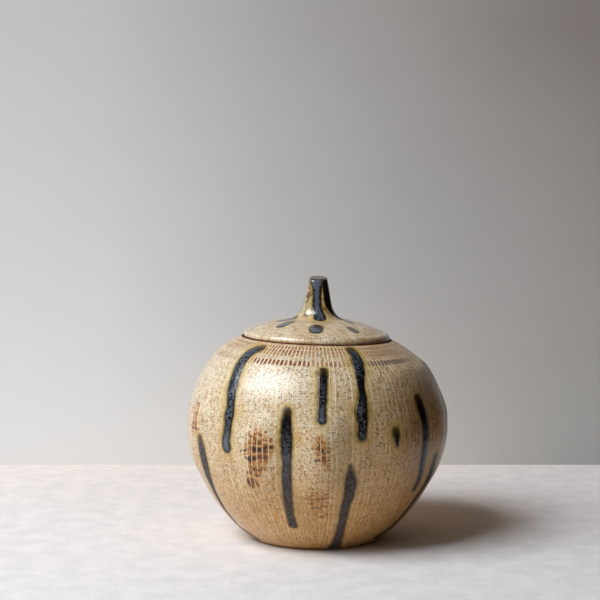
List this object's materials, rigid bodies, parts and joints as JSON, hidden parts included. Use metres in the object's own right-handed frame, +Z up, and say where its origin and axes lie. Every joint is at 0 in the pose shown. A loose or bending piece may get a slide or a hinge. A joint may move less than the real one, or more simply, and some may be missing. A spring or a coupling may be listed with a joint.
{
  "type": "lidded jar",
  "caption": "Round stoneware jar with a bulged wall, a shallow-seated domed lid and a stem-shaped knob.",
  "frame": {"origin": "centre of the foot ring, on the surface that the jar stands on", "axes": "+Z up along the axis that the pot was turned on; -Y is the front; the mouth sits lowest on its +X side"},
  "size_m": [0.1984, 0.2002, 0.197],
  "materials": {
    "pot_glaze": "semi-gloss ash glaze over speckled stoneware, with dark runs",
    "lid_glaze": "semi-gloss ash glaze over speckled stoneware, with dark spots and a dark stem"
  },
  "bodies": {
    "pot": {"pot": "pot_glaze"},
    "lid": {"lid": "lid_glaze"}
  },
  "joints": [
    {"name": "lid_lift", "type": "slide", "parent": "pot", "child": "lid", "axis": [0, 0, 1], "range_m": [0, 0.15]}
  ]
}
